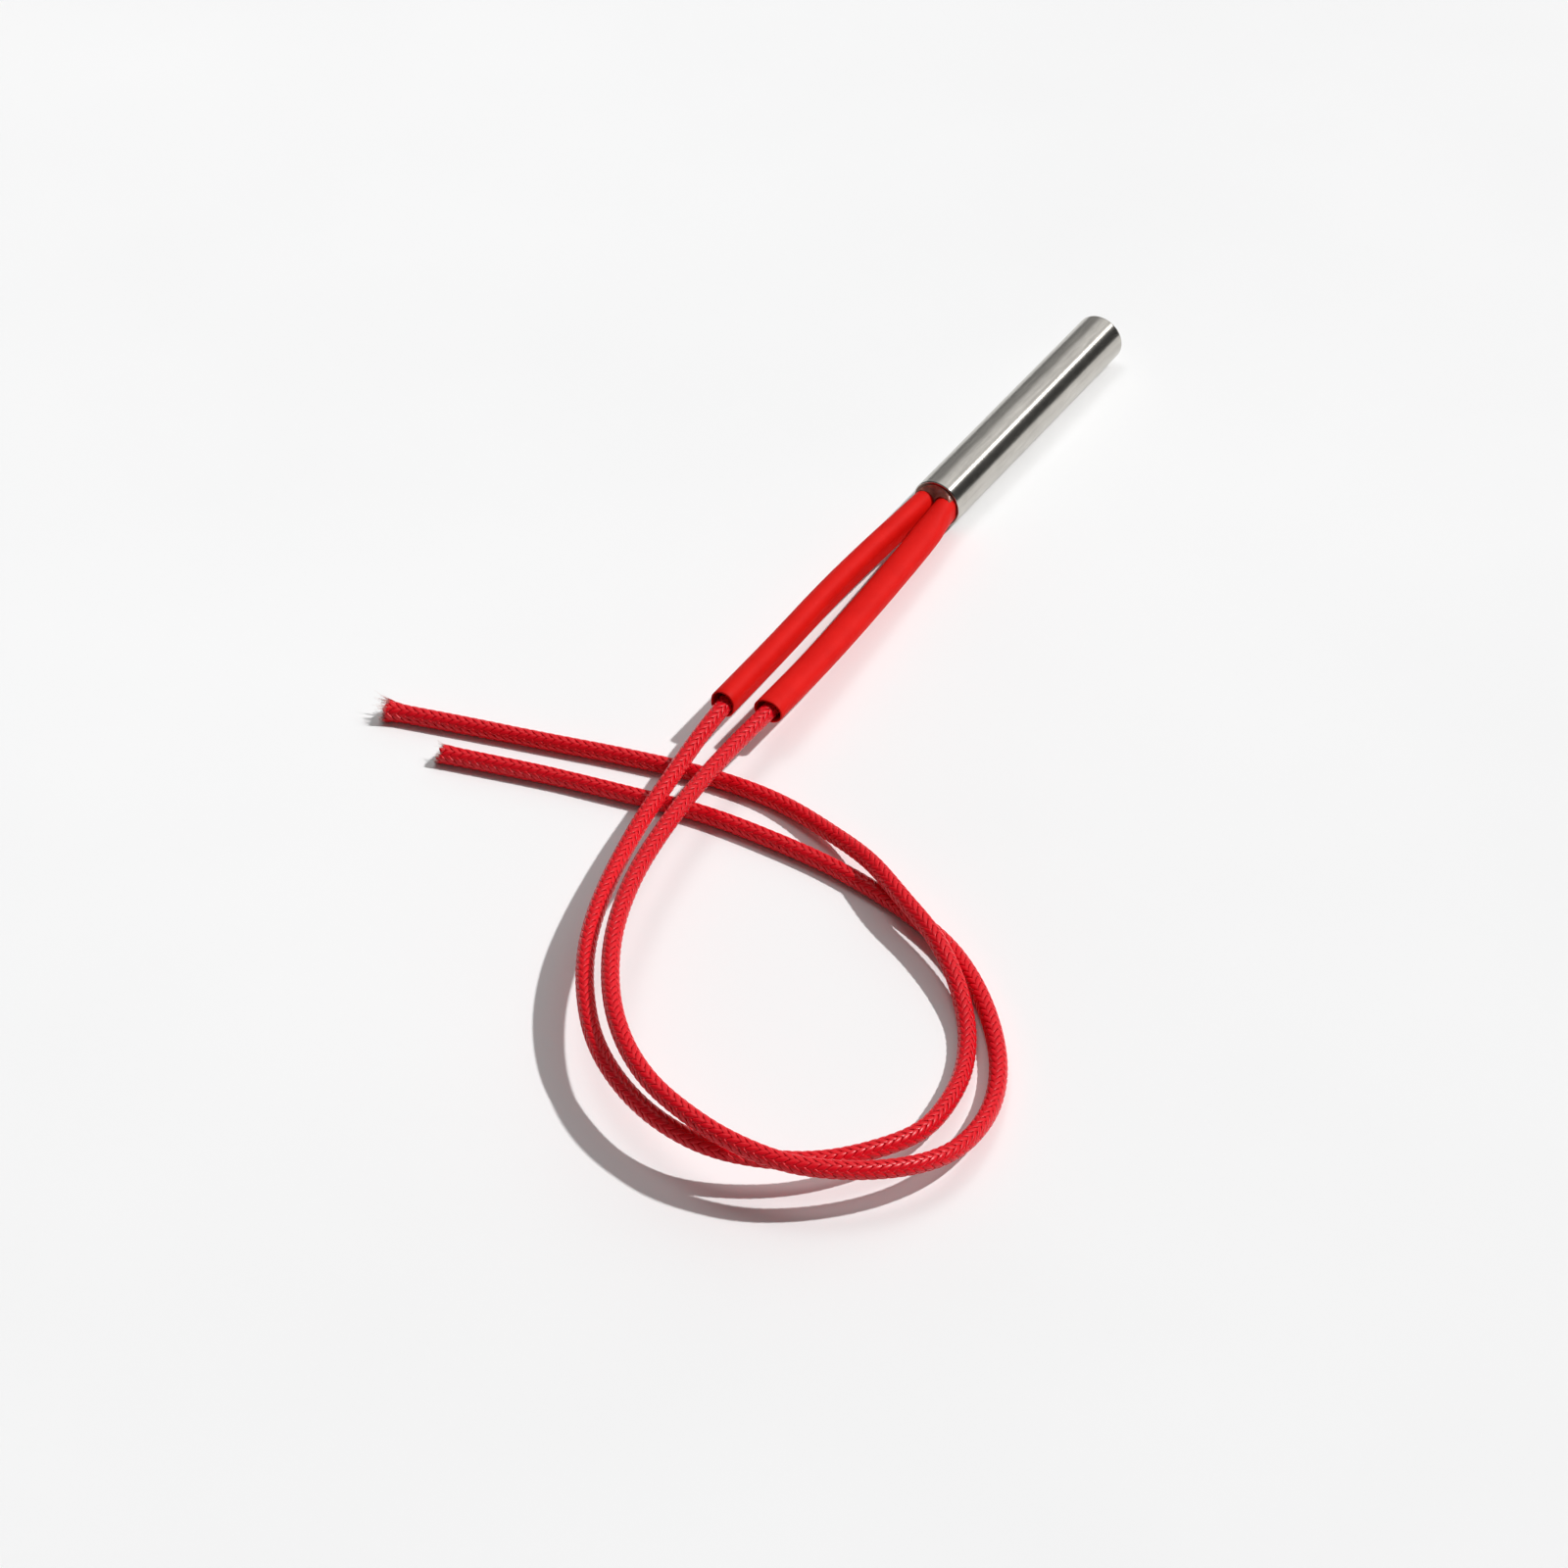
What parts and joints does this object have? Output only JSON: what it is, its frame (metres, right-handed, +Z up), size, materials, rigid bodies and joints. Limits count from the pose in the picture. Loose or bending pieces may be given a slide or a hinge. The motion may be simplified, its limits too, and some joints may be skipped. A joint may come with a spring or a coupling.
{
  "type": "cartridge heater",
  "caption": "Slim round steel cartridge heater, closed at one end, with red braided leads leaving its open end in short sleeves; slides into a bored hole to heat a die, mould or nozzle block.",
  "frame": {"origin": "under the middle of the sheath, on the surface that it lies on", "axes": "+X along the sheath from the mouth to the closed end, +Z up; the leads leave towards -X and lie on the same surface"},
  "size_m": [0.1434, 0.0876, 0.0082],
  "materials": {
    "sheath_steel": "fine centreless-ground stainless steel",
    "weld_steel": "fused weld metal, slightly tinted",
    "ceramic": "unglazed fired ceramic",
    "magnesia": "compacted powder",
    "resistance_wire": "drawn nickel-chrome wire",
    "nickel": "plain nickel-plated steel",
    "conductor": "stranded copper",
    "red_braid": "silicone-varnished glass-fibre braid",
    "red_sleeve": "satin silicone-coated glass-fibre sleeving",
    "seal": "cast silicone seal with a slight gloss"
  },
  "bodies": {
    "root": {"sheath": "sheath_steel", "end_disc": "sheath_steel", "weld_bead": "weld_steel", "far_insulator": "ceramic", "core": "ceramic", "heating_coil": "resistance_wire", "magnesia_fill": "magnesia", "long_pin": "nickel", "short_pin": "nickel", "terminal_insulator": "ceramic", "crimp_a": "nickel", "crimp_b": "nickel", "conductor_a": "conductor", "conductor_b": "conductor", "lead_a": "red_braid", "lead_b": "red_braid", "sleeve_a": "red_sleeve", "sleeve_b": "red_sleeve", "seal_plug": "seal"}
  },
  "joints": []
}
